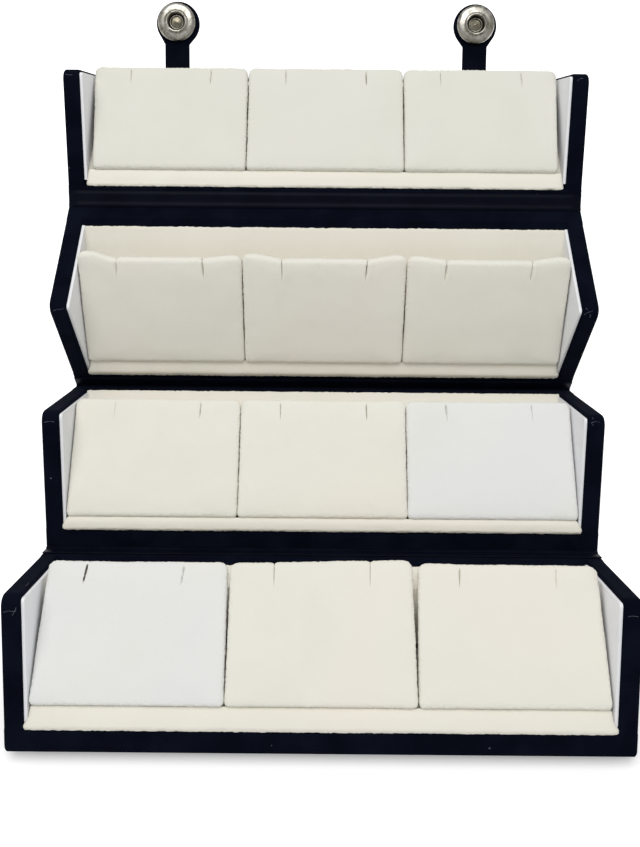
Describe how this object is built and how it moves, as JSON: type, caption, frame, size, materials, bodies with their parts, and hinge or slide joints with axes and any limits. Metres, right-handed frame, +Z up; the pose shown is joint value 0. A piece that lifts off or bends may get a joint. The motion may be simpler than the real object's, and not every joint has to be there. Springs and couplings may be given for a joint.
{
  "type": "earring box",
  "caption": "Folding earring box of hinged triangular trays with slanted velvet pads and two snap straps, shown unrolled in tiers.",
  "frame": {"origin": "middle of the flat outer face of tray 3, which the box stands on", "axes": "+X along the hinges to the viewer's right, +Y from the front tray to the back tray, +Z up"},
  "size_m": [0.2, 0.2914, 0.0894],
  "materials": {
    "navy_velvet_board": "matte",
    "navy_cloth": "matte",
    "cream_velvet_pad": "matte",
    "cream_velvet_trim": "matte",
    "lining_sheet": "satin",
    "foam_strip": "matte",
    "nickel": "polished"
  },
  "bodies": {
    "tray_3": {"hinge_cloth_2_3": "navy_cloth", "hinge_cloth_3_4": "navy_cloth", "tray_3_ledge": "cream_velvet_trim", "tray_3_left_cheek": "navy_velvet_board", "tray_3_left_lining": "lining_sheet", "tray_3_left_pad": "cream_velvet_pad", "tray_3_middle_pad": "cream_velvet_pad", "tray_3_outer_wall": "navy_velvet_board", "tray_3_pad_rest": "foam_strip", "tray_3_right_cheek": "navy_velvet_board", "tray_3_right_lining": "lining_sheet", "tray_3_right_pad": "cream_velvet_pad", "tray_3_wall_lining": "cream_velvet_trim"},
    "tray_4": {"snap_studs": "nickel", "tray_4_ledge": "cream_velvet_trim", "tray_4_left_cheek": "navy_velvet_board", "tray_4_left_lining": "lining_sheet", "tray_4_left_pad": "cream_velvet_pad", "tray_4_middle_pad": "cream_velvet_pad", "tray_4_outer_wall": "navy_velvet_board", "tray_4_pad_rest": "foam_strip", "tray_4_right_cheek": "navy_velvet_board", "tray_4_right_lining": "lining_sheet", "tray_4_right_pad": "cream_velvet_pad", "tray_4_wall_lining": "cream_velvet_trim"},
    "tray_2": {"hinge_cloth_1_2": "navy_cloth", "tray_2_ledge": "cream_velvet_trim", "tray_2_left_cheek": "navy_velvet_board", "tray_2_left_lining": "lining_sheet", "tray_2_left_pad": "cream_velvet_pad", "tray_2_middle_pad": "cream_velvet_pad", "tray_2_outer_wall": "navy_velvet_board", "tray_2_pad_rest": "foam_strip", "tray_2_right_cheek": "navy_velvet_board", "tray_2_right_lining": "lining_sheet", "tray_2_right_pad": "cream_velvet_pad", "tray_2_wall_lining": "cream_velvet_trim"},
    "tray_1": {"left_strap_anchor": "navy_cloth", "right_strap_anchor": "navy_cloth", "tray_1_ledge": "cream_velvet_trim", "tray_1_left_cheek": "navy_velvet_board", "tray_1_left_lining": "lining_sheet", "tray_1_left_pad": "cream_velvet_pad", "tray_1_middle_pad": "cream_velvet_pad", "tray_1_outer_wall": "navy_velvet_board", "tray_1_pad_rest": "foam_strip", "tray_1_right_cheek": "navy_velvet_board", "tray_1_right_lining": "lining_sheet", "tray_1_right_pad": "cream_velvet_pad", "tray_1_wall_lining": "cream_velvet_trim"},
    "left_strap": {"left_snap_cap": "nickel", "left_snap_socket": "nickel", "left_strap_flap": "navy_cloth"},
    "right_strap": {"right_snap_cap": "nickel", "right_snap_socket": "nickel", "right_strap_flap": "navy_cloth"}
  },
  "joints": [
    {"name": "tray_4_hinge", "type": "hinge", "parent": "tray_3", "child": "tray_4", "pos_m": [0, -0.036, 0.001], "axis": [-1, 0, 0], "range_deg": [-63.79, 86.21]},
    {"name": "tray_2_hinge", "type": "hinge", "parent": "tray_3", "child": "tray_2", "pos_m": [0, 0.036, 0.001], "axis": [1, 0, 0], "range_deg": [-106.3, 43.7]},
    {"name": "tray_1_hinge", "type": "hinge", "parent": "tray_2", "child": "tray_1", "pos_m": [0, 0.08574, 0.05305], "axis": [1, 0, 0], "range_deg": [-17.3, 132.7]},
    {"name": "left_strap_fold", "type": "hinge", "parent": "tray_1", "child": "left_strap", "pos_m": [-0.064, 0.15992, 0.05582], "axis": [1, 0, 0], "range_deg": [-98, 41.09]},
    {"name": "right_strap_fold", "type": "hinge", "parent": "tray_1", "child": "right_strap", "pos_m": [0.064, 0.15992, 0.05582], "axis": [1, 0, 0], "range_deg": [-98, 41.09]}
  ]
}
